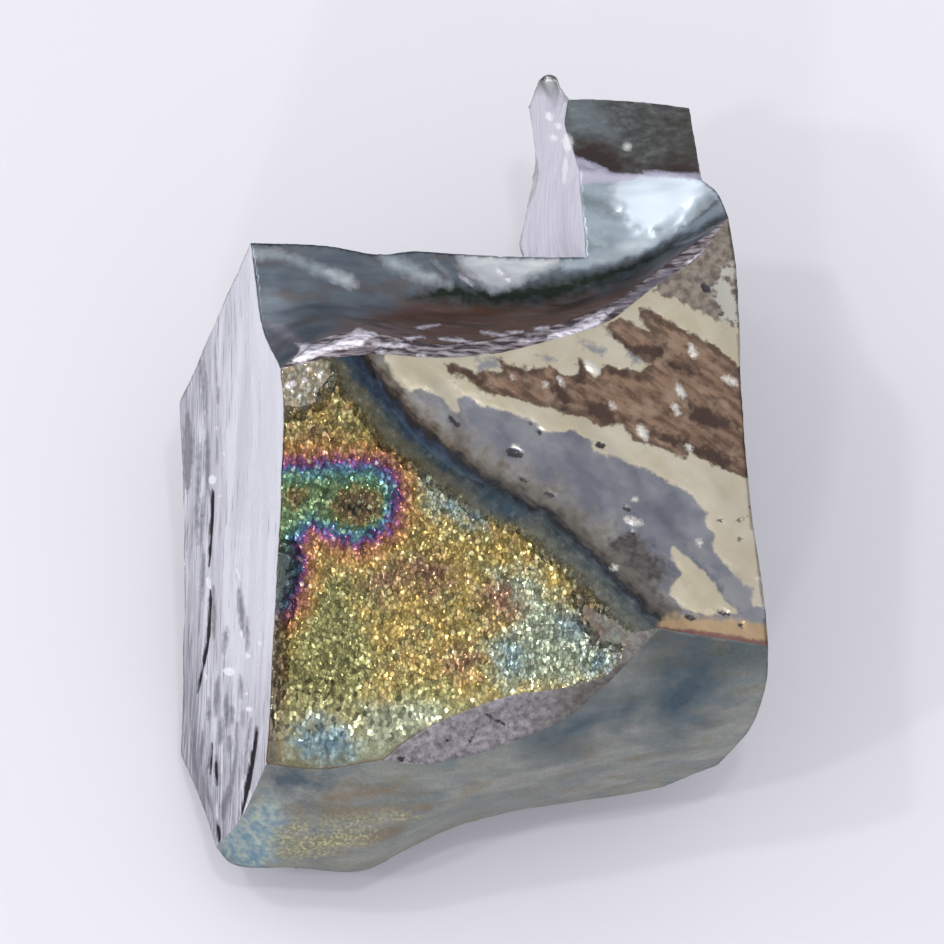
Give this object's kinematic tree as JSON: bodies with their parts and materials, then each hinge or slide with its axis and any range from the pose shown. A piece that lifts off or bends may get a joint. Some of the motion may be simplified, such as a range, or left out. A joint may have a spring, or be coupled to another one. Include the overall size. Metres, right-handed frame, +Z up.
{
  "type": "vanadium metal piece",
  "caption": "Broken piece of vanadium metal: tarnished coloured face, bright cleaved face, sheared end, rounded skin, and a lug behind a hollow.",
  "frame": {"origin": "middle of the bounding box's underside", "axes": "+Z up off the flat underside, +Y from the rounded skin in front to the lug behind, +X from the sheared end to the right"},
  "size_m": [0.0084, 0.0112, 0.0058],
  "materials": {
    "vanadium_metal": "bare broken vanadium, bright on the sheared end and tarnished in oxide colours on the other faces"
  },
  "bodies": {
    "root": {"vanadium_piece": "vanadium_metal"}
  },
  "joints": []
}
